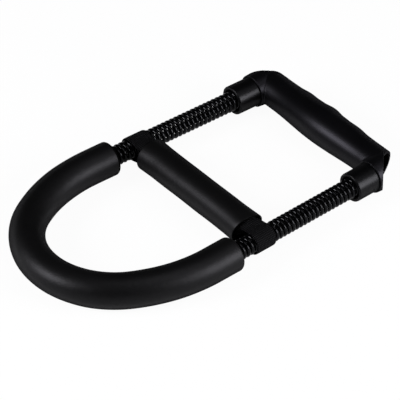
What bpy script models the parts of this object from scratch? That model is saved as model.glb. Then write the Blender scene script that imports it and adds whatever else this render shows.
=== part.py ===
"""Wrist trainer: a foam-covered steel bow, two coil springs, a sliding forearm pad and a moulded handle.

X runs along the handle, Y from the bow to the handle and Z up. The origin is on the floor, under the
middle of the trainer. Sizes are in metres. A place along a leg is its distance past the end of the bend.
"""

import math

import bmesh
import bpy
from mathutils import Matrix, Vector

# The clearance between two pieces that touch
FIT_GAP = 0.0003

# Bow: the centreline is a nose arc, then two wider side arcs, then straight legs that toe in
LEG_HALF_SPACING = 0.0804
NOSE_RADIUS = 0.0722
NOSE_HALF_ANGLE = math.radians(60.1)
LEG_TOE_IN = math.radians(1.63)
BOW_TUBE_WALL = 0.0015
BOW_TUBE_PAST_FOAM = 0.0100
TUBE_CAP_STEM = 0.010
TUBE_CAP_CROWN = 0.0040

# Foam sleeve over the bow
FOAM_RADIUS = 0.0150
FOAM_PAST_BEND = 0.0222
FOAM_RIM_RADIUS = 0.0025
FLOOR_FLAT_DEPTH = 0.0005

# Springs, wound right-handed, between a stop ring on the bow tube and a plug in the handle
WIRE_DIAMETER = 0.0028
SPRING_MEAN_RADIUS = 0.00725
SPRING_PITCH = 0.0043
POINTS_PER_CURL = 8
STOP_RING_AT = 0.0015
STOP_RING_THICKNESS = 0.0020

# Forearm pad: a foam sleeve on a core tube, hung on a webbing loop that rides on the springs
PAD_PAST_FOAM = 0.0283
PAD_RADIUS = 0.0146
PAD_LIFT = 0.0006
PAD_HALF_LENGTH = 0.0620
PAD_END_RADIUS = 0.0153
PAD_END_FLARE_LENGTH = 0.0180
PAD_MOUTH_WALL = 0.0020
PAD_MOUTH_DEPTH = 0.012
PAD_CORE_RADIUS = 0.0095
PAD_CORE_WALL = 0.0012
PAD_CORE_SHORT_OF_END = 0.0140
WEBBING_WIDTH = 0.0196
WEBBING_THICKNESS = 0.0008
WEBBING_CLEARANCE = 0.00055
WEBBING_WIDENS_PAST_CORE = 0.0230
WEBBING_PLY_GAP = 0.0008

# Handle grip: a hollow moulded tube, fuller in the middle, open at both ends
HANDLE_REACH = 0.2961
GRIP_END_RADIUS = 0.0148
GRIP_END_SHIFT_BACK = 0.0010
GRIP_MIDDLE_RADIUS = 0.0166
GRIP_MIDDLE_SHIFT_BACK = 0.0031
GRIP_MIDDLE_LIFT = 0.0018
GRIP_SWELL_SHORT_OF_LEG = 0.0190
FINGER_RIDGE_HEIGHT = 0.0014
SIDE_RIDGE_HEIGHT = 0.0008
FINGER_RIDGE_SPACING = 0.0310
FINGER_RIDGE_HALF_WIDTH = 0.0120
GRIP_END_PAST_LEG = -0.0028
GRIP_END_SLANT = math.radians(22.0)
GRIP_END_LEAN = math.radians(7.0)
GRIP_WALL = 0.0021
GRIP_CAVITY_SHORT_OF_LEG = 0.0230
GRIP_CORE_RADIUS = 0.0080
GRIP_CORE_WALL = 0.0015

# Hood and collar: each end of the grip has a hood across it, whose socket holds a collar
HOOD_WALL = 0.0012
HOOD_REACH = 0.0175
HOOD_END_REACH = 0.0018
HOOD_END_SLANT = math.radians(48.3)
COLLAR_PLAY = 0.00125
COLLAR_WALL = 0.0029
COLLAR_SHOWN = 0.0218
COLLAR_TAPER_END_RADIUS = 0.0085
COLLAR_FLOOR_BEFORE_TAPER = 0.0010
SOCKET_WEB = 0.0018
PLUG_LENGTH = 0.0120
PLUG_SHOULDER = 0.0030
SCREW_RADIUS = 0.0025
SCREW_LENGTH = 0.0180
SCREW_HEAD_RADIUS = 0.0040
SCREW_HEAD_HEIGHT = 0.0025
WASHER_RADIUS = 0.0050
WASHER_THICKNESS = 0.0010

# The pad slides this far towards the handle; past that the springs are free to bend
PAD_TRAVEL = 0.0300

# Places along the trainer
AXIS_Z = FOAM_RADIUS - FLOOR_FLAT_DEPTH
BEND_ANGLE = math.pi / 2 + LEG_TOE_IN
SIDE_RADIUS = (LEG_HALF_SPACING - NOSE_RADIUS * math.sin(NOSE_HALF_ANGLE)) / (
    math.sin(BEND_ANGLE) - math.sin(NOSE_HALF_ANGLE))
GRIP_FRONT_REACH = GRIP_MIDDLE_RADIUS - GRIP_MIDDLE_SHIFT_BACK + FINGER_RIDGE_HEIGHT
NOSE_Y = (FOAM_RADIUS - HANDLE_REACH - GRIP_FRONT_REACH) / 2
GRIP_Y = NOSE_Y + HANDLE_REACH
BEND_END = Vector((
    LEG_HALF_SPACING,
    NOSE_Y + NOSE_RADIUS * (1 - math.cos(NOSE_HALF_ANGLE))
    + SIDE_RADIUS * (math.cos(NOSE_HALF_ANGLE) - math.cos(BEND_ANGLE)),
    AXIS_Z))
LEG_DIRECTION = Vector((math.cos(BEND_ANGLE), math.sin(BEND_ANGLE), 0.0))

# Spring and the bow tube inside it
SPRING_OUTER_RADIUS = SPRING_MEAN_RADIUS + WIRE_DIAMETER / 2
SPRING_INNER_RADIUS = SPRING_MEAN_RADIUS * math.cos(math.pi / POINTS_PER_CURL) - WIRE_DIAMETER / 2
BOW_TUBE_RADIUS = SPRING_INNER_RADIUS - FIT_GAP
BOW_TUBE_PAST_BEND = FOAM_PAST_BEND + BOW_TUBE_PAST_FOAM
PAD_AT = FOAM_PAST_BEND + PAD_PAST_FOAM
PAD_Z = AXIS_Z + PAD_LIFT

# Handle, along a leg and along the grip
GRIP_ON_LEG = (GRIP_Y - BEND_END.y) / LEG_DIRECTION.y
LEG_X_AT_GRIP = BEND_END.x + LEG_DIRECTION.x * GRIP_ON_LEG
GRIP_AXIS_Y = GRIP_Y - GRIP_END_SHIFT_BACK
GRIP_SWELL_HALF_LENGTH = LEG_X_AT_GRIP - GRIP_SWELL_SHORT_OF_LEG
GRIP_CAVITY_FROM = LEG_X_AT_GRIP - GRIP_CAVITY_SHORT_OF_LEG
GRIP_END_AT = LEG_X_AT_GRIP + GRIP_END_PAST_LEG
COLLAR_BORE = SPRING_OUTER_RADIUS + COLLAR_PLAY
COLLAR_RADIUS = COLLAR_BORE + COLLAR_WALL
SOCKET_RADIUS = COLLAR_RADIUS + FIT_GAP
HOOD_RADIUS = SOCKET_RADIUS + HOOD_WALL
HOOD_FRONT = GRIP_ON_LEG - HOOD_REACH
COLLAR_FRONT = HOOD_FRONT - COLLAR_SHOWN
HOOD_END_ON_LEG = GRIP_ON_LEG - HOOD_END_REACH
TAPER_SLOPE = 1 / math.tan(HOOD_END_SLANT)
COLLAR_TAPER_FROM = HOOD_END_ON_LEG - SOCKET_RADIUS * TAPER_SLOPE - SOCKET_WEB
COLLAR_END = COLLAR_TAPER_FROM + (COLLAR_RADIUS - COLLAR_TAPER_END_RADIUS) * TAPER_SLOPE
COLLAR_FLOOR_FACE = COLLAR_TAPER_FROM - COLLAR_FLOOR_BEFORE_TAPER
SCREW_SEAT = COLLAR_END + FIT_GAP + SOCKET_WEB
PLUG_SHOULDER_FACE = COLLAR_FLOOR_FACE - FIT_GAP - PLUG_SHOULDER
SPRING_START = STOP_RING_AT + STOP_RING_THICKNESS + FIT_GAP
SPRING_END = PLUG_SHOULDER_FACE - FIT_GAP
FLEX_ON_LEG = (PAD_AT + PAD_TRAVEL + WEBBING_WIDTH / 2 + COLLAR_FRONT) / 2

SIDES = (("left", -1), ("right", 1))


def clear_scene():
    for old in list(bpy.data.objects):
        bpy.data.objects.remove(old, do_unlink=True)


def new_collection(name):
    collection = bpy.data.collections.new(name)
    bpy.context.scene.collection.children.link(collection)
    return collection


def material(name, colour, roughness, metallic=0.0):
    made = bpy.data.materials.new(name)
    made.use_nodes = True
    shader = made.node_tree.nodes["Principled BSDF"]
    shader.inputs["Base Color"].default_value = (*colour, 1.0)
    shader.inputs["Roughness"].default_value = roughness
    shader.inputs["Metallic"].default_value = metallic
    return made


clear_scene()
PARTS = new_collection("wrist_trainer")
CUTTERS = new_collection("cutters")

FOAM = material("black_nbr_foam", (0.020, 0.020, 0.021), 0.62)
SPRING_STEEL = material("black_lacquered_spring_steel", (0.012, 0.012, 0.014), 0.22, 0.6)
TUBE_STEEL = material("black_painted_tube", (0.025, 0.025, 0.027), 0.40, 0.5)
ZINC_STEEL = material("zinc_plated_steel", (0.55, 0.56, 0.58), 0.35, 1.0)
WEBBING = material("black_polypropylene_webbing", (0.028, 0.028, 0.031), 0.75)
GRIP_PLASTIC = material("black_moulded_grip", (0.016, 0.016, 0.018), 0.42)
COLLAR_PLASTIC = material("black_nylon_collar", (0.022, 0.022, 0.024), 0.33)
CORE_PLASTIC = material("grey_core_tube", (0.20, 0.20, 0.21), 0.55)


def place(name, data, look, collection=PARTS):
    """Adds an object with its material to a collection."""
    made = bpy.data.objects.new(name, data)
    collection.objects.link(made)
    if look:
        data.materials.append(look)
    return made


def leg_point(along, side):
    """A point on one leg's axis, at a distance past the end of the bend."""
    point = BEND_END + LEG_DIRECTION * along
    return Vector((side * point.x, point.y, point.z))


def leg_frame(along, side):
    """A frame on one leg: its Z runs towards the handle, its Y up."""
    forward = Vector((side * LEG_DIRECTION.x, LEG_DIRECTION.y, 0.0))
    up = Vector((0.0, 0.0, 1.0))
    across = up.cross(forward)
    turn = Matrix((across, up, forward)).transposed().to_4x4()
    return Matrix.Translation(leg_point(along, side)) @ turn


def bow_half(past_bend, nose_steps, side_steps, leg_steps):
    """Points of the right half of the bow's centreline, from the nose to the end of a leg."""
    points = []
    for i in range(nose_steps + 1):
        angle = NOSE_HALF_ANGLE * i / nose_steps
        points.append(Vector((
            NOSE_RADIUS * math.sin(angle), NOSE_Y + NOSE_RADIUS * (1 - math.cos(angle)), AXIS_Z)))
    hinge = points[-1]
    for i in range(1, side_steps + 1):
        angle = NOSE_HALF_ANGLE + (BEND_ANGLE - NOSE_HALF_ANGLE) * i / side_steps
        points.append(hinge + SIDE_RADIUS * Vector((
            math.sin(angle) - math.sin(NOSE_HALF_ANGLE), math.cos(NOSE_HALF_ANGLE) - math.cos(angle), 0.0)))
    for i in range(1, leg_steps + 1):
        points.append(leg_point(past_bend * i / leg_steps, 1))
    return points


def both_halves(points):
    """Mirrors a right half, from the nose out, into the whole line from the left end to the right end."""
    mirrored = [Vector((-p.x, p.y, p.z)) for p in reversed(points[1:])]
    return mirrored + points


def tube(name, points, radii, sides, look, collection=PARTS):
    """A round tube through points, as a mesh whose caps are welded. Radii may differ from point to point."""
    curve = bpy.data.curves.new(name + "_line", "CURVE")
    curve.dimensions = "3D"
    curve.twist_mode = "Z_UP"
    curve.bevel_depth = 1.0
    curve.bevel_resolution = (sides - 4) // 2
    curve.use_fill_caps = True
    line = curve.splines.new("POLY")
    line.points.add(len(points) - 1)
    for slot, point, radius in zip(line.points, points, radii):
        slot.co = (*point, 1.0)
        slot.radius = radius
    guide = place(name + "_guide", curve, None, collection)
    bpy.context.view_layer.update()
    mesh = bpy.data.meshes.new_from_object(guide.evaluated_get(bpy.context.evaluated_depsgraph_get()))
    bpy.data.objects.remove(guide)
    work = bmesh.new()
    work.from_mesh(mesh)
    bmesh.ops.remove_doubles(work, verts=work.verts, dist=0.000001)
    bmesh.ops.recalc_face_normals(work, faces=work.faces)
    work.to_mesh(mesh)
    work.free()
    mesh.shade_smooth()
    mesh.set_sharp_from_angle(angle=math.radians(50))
    return place(name, mesh, look, collection)


def turned(name, profile, frame, look, steps=24, collection=PARTS):
    """A turned piece: a closed profile of (radius, height) points, from the top down its outer side."""
    mesh = bpy.data.meshes.new(name)
    links = [(i, (i + 1) % len(profile)) for i in range(len(profile))]
    if profile[0][0] == 0.0:
        links = links[:-1]
    mesh.from_pydata([(radius, 0.0, height) for radius, height in profile], links, [])
    piece = place(name, mesh, look, collection)
    piece.matrix_world = frame
    screw = piece.modifiers.new("turn", "SCREW")
    screw.steps = steps
    screw.render_steps = steps
    screw.use_merge_vertices = True
    screw.merge_threshold = 0.000001
    screw.use_smooth_shade = False
    return piece


def sleeve(name, outer, inner, low, high, frame, look, steps=24, collection=PARTS):
    """A plain turned ring or sleeve."""
    profile = [(outer, high), (outer, low), (inner, low), (inner, high)]
    return turned(name, profile, frame, look, steps, collection)


def cut(piece, cutter, operation="DIFFERENCE"):
    """Cuts one piece with another, which stays in the file as a hidden guide."""
    cutter.hide_render = True
    cutter.display_type = "WIRE"
    step = piece.modifiers.new(cutter.name, "BOOLEAN")
    step.operation = operation
    step.solver = "EXACT"
    step.object = cutter
    return step


def cutter_box(name, low, high, frame=None):
    """A box between two corners, in a frame."""
    mesh = bpy.data.meshes.new(name)
    work = bmesh.new()
    bmesh.ops.create_cube(work, size=1.0)
    size = Vector(high) - Vector(low)
    bmesh.ops.scale(work, vec=size, verts=work.verts)
    bmesh.ops.translate(work, vec=(Vector(low) + Vector(high)) / 2, verts=work.verts)
    work.to_mesh(mesh)
    work.free()
    box = place(name, mesh, None, CUTTERS)
    if frame:
        box.matrix_world = frame
    return box


def carry(pivot_name, location, pieces):
    """Parents pieces to an empty on their joint's axis, and leaves them where they are."""
    pivot = bpy.data.objects.new(pivot_name, None)
    PARTS.objects.link(pivot)
    pivot.location = location
    pivot.empty_display_size = GRIP_MIDDLE_RADIUS
    bpy.context.view_layer.update()
    for piece in pieces:
        piece.parent = pivot
        piece.matrix_parent_inverse = pivot.matrix_world.inverted()


# Points along the bow's nose arc and along each side arc
NOSE_STEPS = 13
SIDE_STEPS = 6


def make_bow_tube():
    """The steel tube that carries everything, open at both ends for its caps."""
    line = both_halves(bow_half(BOW_TUBE_PAST_BEND, NOSE_STEPS, SIDE_STEPS, 1))
    piece = tube("bow_tube", line, [BOW_TUBE_RADIUS] * len(line), 12, TUBE_STEEL)
    longer = both_halves(bow_half(BOW_TUBE_PAST_BEND + BOW_TUBE_WALL, NOSE_STEPS, SIDE_STEPS, 1))
    bore = tube("bow_tube_bore", longer, [BOW_TUBE_RADIUS - BOW_TUBE_WALL] * len(longer), 10, None, CUTTERS)
    cut(piece, bore)


def make_bow_foam():
    """The foam sleeve: round rims at its ends, a narrow bore on the tube and a wide one over the springs."""
    half = bow_half(FOAM_PAST_BEND - FOAM_RIM_RADIUS, NOSE_STEPS, SIDE_STEPS, 1)
    radii = [FOAM_RADIUS] * len(half)
    rim_steps = 3
    for i in range(1, rim_steps + 1):
        angle = math.pi / 2 * i / rim_steps
        half.append(leg_point(FOAM_PAST_BEND - FOAM_RIM_RADIUS * (1 - math.sin(angle)), 1))
        radii.append(FOAM_RADIUS - FOAM_RIM_RADIUS * (1 - math.cos(angle)))
    line = both_halves(half)
    piece = tube("bow_foam", line, list(reversed(radii[1:])) + radii, 24, FOAM)
    narrow = BOW_TUBE_RADIUS + FIT_GAP
    wide = SPRING_OUTER_RADIUS + FIT_GAP
    wide_from = STOP_RING_AT - FIT_GAP
    bore_half = bow_half(wide_from - FIT_GAP, NOSE_STEPS, SIDE_STEPS, 1)
    bore_radii = [narrow] * len(bore_half)
    for along in (wide_from, FOAM_PAST_BEND + FOAM_RIM_RADIUS):
        bore_half.append(leg_point(along, 1))
        bore_radii.append(wide)
    bore_radii = list(reversed(bore_radii[1:])) + bore_radii
    bore = tube("bow_foam_bore", both_halves(bore_half), bore_radii, 16, None, CUTTERS)
    cut(piece, bore)
    reach = 2 * LEG_HALF_SPACING
    floor = cutter_box("foam_floor", (-reach, -reach, -FOAM_RADIUS), (reach, reach, 0.0))
    cut(piece, floor)


def make_tube_cap(name, side):
    """A nylon bullet in the end of the tube, which guides the spring as it bends."""
    stem = BOW_TUBE_RADIUS - BOW_TUBE_WALL - 2 * FIT_GAP
    profile = []
    crown_steps = 4
    for i in range(crown_steps + 1):
        angle = math.pi / 2 * i / crown_steps
        height = FIT_GAP + TUBE_CAP_CROWN * (1 + math.cos(angle)) / 2
        profile.append((BOW_TUBE_RADIUS * math.sin(angle), height))
    profile[0] = (0.0, profile[0][1])
    profile += [(BOW_TUBE_RADIUS, FIT_GAP), (stem, FIT_GAP), (stem, -TUBE_CAP_STEM), (0.0, -TUBE_CAP_STEM)]
    return turned(name, profile, leg_frame(BOW_TUBE_PAST_BEND, side), CORE_PLASTIC, 12)


def make_stop_ring(name, side):
    """A steel ring welded to the tube, which the spring's first coil stands on."""
    frame = leg_frame(STOP_RING_AT, side)
    inner = BOW_TUBE_RADIUS + FIT_GAP
    return sleeve(name, SPRING_OUTER_RADIUS, inner, 0.0, STOP_RING_THICKNESS, frame, ZINC_STEEL, 20)


def spring_points():
    """Points of one spring along its own Z: a straight end, the curls, and a straight end."""
    length = SPRING_END - SPRING_START
    wound = length - 2 * WIRE_DIAMETER
    count = round(wound / SPRING_PITCH * POINTS_PER_CURL)
    points = [Vector((SPRING_MEAN_RADIUS, 0.0, 0.0))]
    for i in range(count + 1):
        angle = 2 * math.pi * i / POINTS_PER_CURL
        points.append(Vector((
            SPRING_MEAN_RADIUS * math.cos(angle), SPRING_MEAN_RADIUS * math.sin(angle),
            WIRE_DIAMETER + wound * i / count)))
    points.append(points[-1] + Vector((0.0, 0.0, WIRE_DIAMETER)))
    return points


def least_gap(points, thickness):
    """The least gap between runs of a wound wire that lie half a curl or more apart."""
    apart = POINTS_PER_CURL // 2 + 1
    fine = []
    for start, end in zip(points, points[1:]):
        fine += [start.lerp(end, k / 3) for k in range(3)]
    best = 1.0
    for i, point in enumerate(fine):
        for other in fine[i + 3 * apart:i + 3 * (2 * POINTS_PER_CURL)]:
            best = min(best, (point - other).length)
    return best - thickness


def make_spring(name, side):
    """A coil spring of one unbroken wire, whose ends stand square on the stop ring and on the plug."""
    points = spring_points()
    curve = bpy.data.curves.new(name, "CURVE")
    curve.dimensions = "3D"
    curve.bevel_depth = WIRE_DIAMETER / 2
    curve.bevel_resolution = 1
    curve.use_fill_caps = True
    line = curve.splines.new("POLY")
    line.points.add(len(points) - 1)
    for slot, point in zip(line.points, points):
        slot.co = (*point, 1.0)
    line.use_smooth = True
    piece = place(name, curve, SPRING_STEEL)
    piece.matrix_world = leg_frame(SPRING_START, side)
    curls = (len(points) - 3) / POINTS_PER_CURL
    print(f"{name}: {curls:.1f} curls, least gap to itself {least_gap(points, WIRE_DIAMETER) * 1000:.2f} mm")
    return piece


def pad_frame():
    """The pad's frame: its Z runs along X."""
    centre = leg_point(PAD_AT, 1).y
    return Matrix.Translation((0.0, centre, PAD_Z)) @ Matrix.Rotation(math.pi / 2, 4, "Y")


def make_pad_foam():
    """The pad's foam sleeve: it widens at both ends, where its bore flares into a mouth."""
    end, throat = PAD_HALF_LENGTH, PAD_HALF_LENGTH - PAD_MOUTH_DEPTH
    flare = PAD_HALF_LENGTH - PAD_END_FLARE_LENGTH
    bore = PAD_CORE_RADIUS + FIT_GAP
    mouth = PAD_END_RADIUS - PAD_MOUTH_WALL
    edge = PAD_MOUTH_WALL / 2
    profile = [
        (PAD_END_RADIUS - edge, end), (PAD_END_RADIUS, end - edge), (PAD_RADIUS, flare), (PAD_RADIUS, -flare),
        (PAD_END_RADIUS, edge - end), (PAD_END_RADIUS - edge, -end),
        (mouth, -end), (bore, -throat), (bore, throat), (mouth, end)]
    piece = turned("pad_foam", profile, pad_frame(), FOAM, 32)
    reach = 2 * PAD_HALF_LENGTH
    floor = cutter_box("pad_floor", (-reach, -reach, -PAD_RADIUS), (reach, reach, FIT_GAP))
    cut(piece, floor)
    return piece


def make_pad_core():
    """The tube that keeps the pad straight, with the webbing's two plies inside it."""
    half = PAD_HALF_LENGTH - PAD_CORE_SHORT_OF_END
    bore = PAD_CORE_RADIUS - PAD_CORE_WALL
    return sleeve("pad_core_tube", PAD_CORE_RADIUS, bore, -half, half, pad_frame(), CORE_PLASTIC, 24)


def webbing_line():
    """The webbing's middle line in the XZ plane: (x, z, half width) along its right half, top then bottom.

    The two plies fill the core tube's bore from edge to edge, folded a little. They part in the pad's mouth,
    and run nearly level from there to the spring, which they go round at their full width.
    """
    ply = (WEBBING_PLY_GAP + WEBBING_THICKNESS) / 2
    core_end = PAD_HALF_LENGTH - PAD_CORE_SHORT_OF_END
    spring_x = leg_point(PAD_AT, 1).x
    wrap = SPRING_OUTER_RADIUS + WEBBING_CLEARANCE + WEBBING_THICKNESS / 2
    bore = PAD_CORE_RADIUS - PAD_CORE_WALL - FIT_GAP
    narrow = math.sqrt(bore ** 2 - (ply + WEBBING_THICKNESS / 2) ** 2)
    full = WEBBING_WIDTH / 2
    leave = math.radians(103)
    finish = Vector((spring_x + wrap * math.cos(leave), wrap * math.sin(leave)))
    at_mouth = finish.y - (finish.x - PAD_HALF_LENGTH) * math.tan(leave - math.pi / 2)
    widen = WEBBING_WIDENS_PAST_CORE
    upper = [(0.0, ply, narrow), (core_end, ply, narrow)]
    mouth_steps = 6
    for i in range(1, mouth_steps + 1):
        share = i / mouth_steps
        ease = share * share * (3 - 2 * share)
        x = core_end + (PAD_HALF_LENGTH - core_end) * share
        upper.append((x, ply + (at_mouth - ply) * ease, narrow + (full - narrow) * (x - core_end) / widen))
    wide_from = core_end + widen
    upper.append((wide_from, finish.y - (finish.x - wide_from) * math.tan(leave - math.pi / 2), full))
    arc_steps = 8
    for i in range(arc_steps + 1):
        angle = leave * (1 - i / arc_steps)
        upper.append((spring_x + wrap * math.cos(angle), wrap * math.sin(angle), full))
    lower = [(x, -z, half) for x, z, half in reversed(upper[:-1])]
    return upper + lower


def make_webbing():
    """One closed loop of webbing: a ribbon along its middle line, with its thickness added."""
    centre = leg_point(PAD_AT, 1).y
    right = webbing_line()
    left = [(-x, z, half) for x, z, half in reversed(right[1:-1])]
    loop = right + left
    mesh = bpy.data.meshes.new("webbing_loop")
    work = bmesh.new()
    rim = [work.verts.new((x, centre - half, AXIS_Z + z)) for x, z, half in loop]
    edges = [work.edges.new((a, b)) for a, b in zip(rim, rim[1:] + rim[:1])]
    grown = bmesh.ops.extrude_edge_only(work, edges=edges)
    for vertex in grown["geom"]:
        if isinstance(vertex, bmesh.types.BMVert):
            vertex.co.y = 2 * centre - vertex.co.y
    bmesh.ops.recalc_face_normals(work, faces=work.faces)
    work.to_mesh(mesh)
    work.free()
    piece = place("webbing_loop", mesh, WEBBING)
    thicken = piece.modifiers.new("thickness", "SOLIDIFY")
    thicken.thickness = WEBBING_THICKNESS
    thicken.offset = 0.0
    thicken.use_even_offset = True
    return piece


def swell(x):
    """How far the grip has swollen at a place along it: 1 in the middle, 0 at its ends."""
    share = min(1.0, abs(x) / GRIP_SWELL_HALF_LENGTH)
    return (1 + math.cos(math.pi * share)) / 2


def finger_ridge(x):
    """The height of the low ridges between the fingers, on the grip's far side."""
    height = 0.0
    for place_x, top in (
            (-FINGER_RIDGE_SPACING, SIDE_RIDGE_HEIGHT), (0.0, FINGER_RIDGE_HEIGHT),
            (FINGER_RIDGE_SPACING, SIDE_RIDGE_HEIGHT)):
        away = abs(x - place_x) / FINGER_RIDGE_HALF_WIDTH
        if away < 1:
            height += top * math.cos(away * math.pi / 2) ** 2
    return height


def grip_section(x):
    """The centre and the radius of the grip's round section at a place along it."""
    share = swell(x)
    back = GRIP_END_SHIFT_BACK + (GRIP_MIDDLE_SHIFT_BACK - GRIP_END_SHIFT_BACK) * share
    radius = GRIP_END_RADIUS + (GRIP_MIDDLE_RADIUS - GRIP_END_RADIUS) * share
    return Vector((x, GRIP_Y - back, AXIS_Z + GRIP_MIDDLE_LIFT * share)), radius


def make_grip_tube(half_length):
    """The grip's outer tube, with its finger ridges and its flat underside, before it is cut."""
    middle_steps = 20
    places = [GRIP_SWELL_HALF_LENGTH * (i / middle_steps * 2 - 1) for i in range(middle_steps + 1)]
    sections = [grip_section(x) for x in [-half_length] + places + [half_length]]
    piece = tube("grip", [s[0] for s in sections], [s[1] for s in sections], 28, GRIP_PLASTIC)
    for vertex in piece.data.vertices:
        centre, radius = grip_section(vertex.co.x)
        facing = max(0.0, (vertex.co.y - centre.y) / radius)
        vertex.co.y += finger_ridge(vertex.co.x) * min(1.0, 1.5 * facing)
        vertex.co.z = max(vertex.co.z, 0.0)
    return piece


def make_hood(label, side):
    """A hood: a short cylinder along the leg, whose far end is cut slanting across the grip's corner.

    It is turned by half a step, so that no edge of its front face lies on a corner of the socket.
    """
    steps = 32
    reach = HOOD_RADIUS * TAPER_SLOPE
    top = HOOD_END_ON_LEG + reach
    profile = [(0.0, top), (HOOD_RADIUS, top), (HOOD_RADIUS, HOOD_FRONT), (0.0, HOOD_FRONT)]
    half_step = Matrix.Rotation(math.pi / steps, 4, "Z")
    hood = turned(f"hood_{label}", profile, leg_frame(0.0, side) @ half_step, None, steps, CUTTERS)
    slant = Matrix.Translation(leg_point(HOOD_END_ON_LEG, side))
    slant = slant @ Matrix.Rotation(side * HOOD_END_SLANT, 4, "Z")
    far = 4 * HOOD_RADIUS
    near_x, far_x = (0.0, far) if side > 0 else (-far, 0.0)
    cut(hood, cutter_box(f"hood_end_{label}", (near_x, -far, -far), (far_x, far, far), slant))
    return hood


def make_grip():
    """The moulded grip: a tube with slanted open ends and a hood across each end, hollow inside."""
    half_length = GRIP_END_AT + GRIP_END_RADIUS * math.tan(GRIP_END_SLANT) + GRIP_END_RADIUS
    piece = make_grip_tube(half_length)
    far = 4 * GRIP_END_RADIUS
    for label, side in SIDES:
        slant = Matrix.Translation((side * GRIP_END_AT, GRIP_Y, AXIS_Z))
        slant = slant @ Matrix.Rotation(side * GRIP_END_SLANT, 4, "Z")
        slant = slant @ Matrix.Rotation(side * GRIP_END_LEAN, 4, "Y")
        near_x, far_x = (0.0, far) if side > 0 else (-far, 0.0)
        cut(piece, cutter_box(f"grip_end_{label}", (near_x, -far, -far), (far_x, far, far), slant))
        cut(piece, make_hood(label, side), "UNION")

    end = half_length + GRIP_END_RADIUS
    wide = GRIP_END_RADIUS - GRIP_WALL
    inner = GRIP_CORE_RADIUS + FIT_GAP
    step = GRIP_CAVITY_FROM
    along = Matrix.Translation((0.0, GRIP_AXIS_Y, AXIS_Z)) @ Matrix.Rotation(math.pi / 2, 4, "Y")
    profile = [
        (0.0, end), (wide, end), (wide, step), (inner, step), (inner, -step), (wide, -step), (wide, -end),
        (0.0, -end)]
    hollow = turned("grip_hollow", profile, along, None, 28, CUTTERS)
    for label, side in SIDES:
        half = 2 * HOOD_RADIUS
        web = cutter_box(
            f"socket_web_{label}", (-half, -half, 0.0), (half, half, SCREW_SEAT), leg_frame(0.0, side))
        cut(hollow, web)
    cut(piece, hollow)
    for label, side in SIDES:
        hole = SCREW_RADIUS + FIT_GAP
        profile = [
            (0.0, SCREW_SEAT + SOCKET_WEB), (hole, SCREW_SEAT + SOCKET_WEB), (hole, COLLAR_END + FIT_GAP),
            (COLLAR_TAPER_END_RADIUS + FIT_GAP, COLLAR_END + FIT_GAP),
            (SOCKET_RADIUS, COLLAR_TAPER_FROM + FIT_GAP), (SOCKET_RADIUS, COLLAR_FRONT), (0.0, COLLAR_FRONT)]
        cut(piece, turned(f"socket_{label}", profile, leg_frame(0.0, side), None, 32, CUTTERS))
    return piece


def make_grip_core():
    """The steel tube inside the grip, which keeps it from bending."""
    along = Matrix.Translation((0.0, GRIP_AXIS_Y, AXIS_Z)) @ Matrix.Rotation(math.pi / 2, 4, "Y")
    half = GRIP_CAVITY_FROM - GRIP_CORE_WALL
    bore = GRIP_CORE_RADIUS - GRIP_CORE_WALL
    return sleeve("grip_core_tube", GRIP_CORE_RADIUS, bore, -half, half, along, TUBE_STEEL, 20)


def make_collar(name, side):
    """The smooth cup in the hood round the spring's end, with a tapered back and a screw hole."""
    hole = SCREW_RADIUS + FIT_GAP
    profile = [
        (hole, COLLAR_END), (COLLAR_TAPER_END_RADIUS, COLLAR_END), (COLLAR_RADIUS, COLLAR_TAPER_FROM),
        (COLLAR_RADIUS, COLLAR_FRONT), (COLLAR_BORE, COLLAR_FRONT), (COLLAR_BORE, COLLAR_FLOOR_FACE),
        (hole, COLLAR_FLOOR_FACE)]
    return turned(name, profile, leg_frame(0.0, side), COLLAR_PLASTIC, 32)


def make_plug(name, side):
    """The steel plug in the spring's last coils: tapped for the screw, with a shoulder to stop the spring."""
    tapped = SCREW_RADIUS + FIT_GAP
    body = SPRING_INNER_RADIUS - FIT_GAP
    shoulder = COLLAR_BORE - FIT_GAP
    top = PLUG_SHOULDER_FACE + PLUG_SHOULDER
    bottom = PLUG_SHOULDER_FACE - PLUG_LENGTH
    profile = [
        (tapped, top), (shoulder, top), (shoulder, PLUG_SHOULDER_FACE), (body, PLUG_SHOULDER_FACE),
        (body, bottom), (tapped, bottom)]
    return turned(name, profile, leg_frame(0.0, side), ZINC_STEEL, 20)


def make_washer(name, side):
    """The washer under the screw's head, behind the grip's open end."""
    low = SCREW_SEAT + FIT_GAP
    hole = SCREW_RADIUS + FIT_GAP
    high = low + WASHER_THICKNESS
    return sleeve(name, WASHER_RADIUS, hole, low, high, leg_frame(0.0, side), ZINC_STEEL, 20)


def make_screw(name, side):
    """The screw that pulls plug, collar and grip together, put in through the grip's open end."""
    seat = SCREW_SEAT + WASHER_THICKNESS + 2 * FIT_GAP
    top = seat + SCREW_HEAD_HEIGHT
    edge = SCREW_HEAD_HEIGHT / 2
    profile = [
        (0.0, top), (SCREW_HEAD_RADIUS - edge, top), (SCREW_HEAD_RADIUS, top - edge),
        (SCREW_HEAD_RADIUS, seat), (SCREW_RADIUS, seat), (SCREW_RADIUS, seat - SCREW_LENGTH),
        (0.0, seat - SCREW_LENGTH)]
    return turned(name, profile, leg_frame(0.0, side), ZINC_STEEL, 16)


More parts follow.
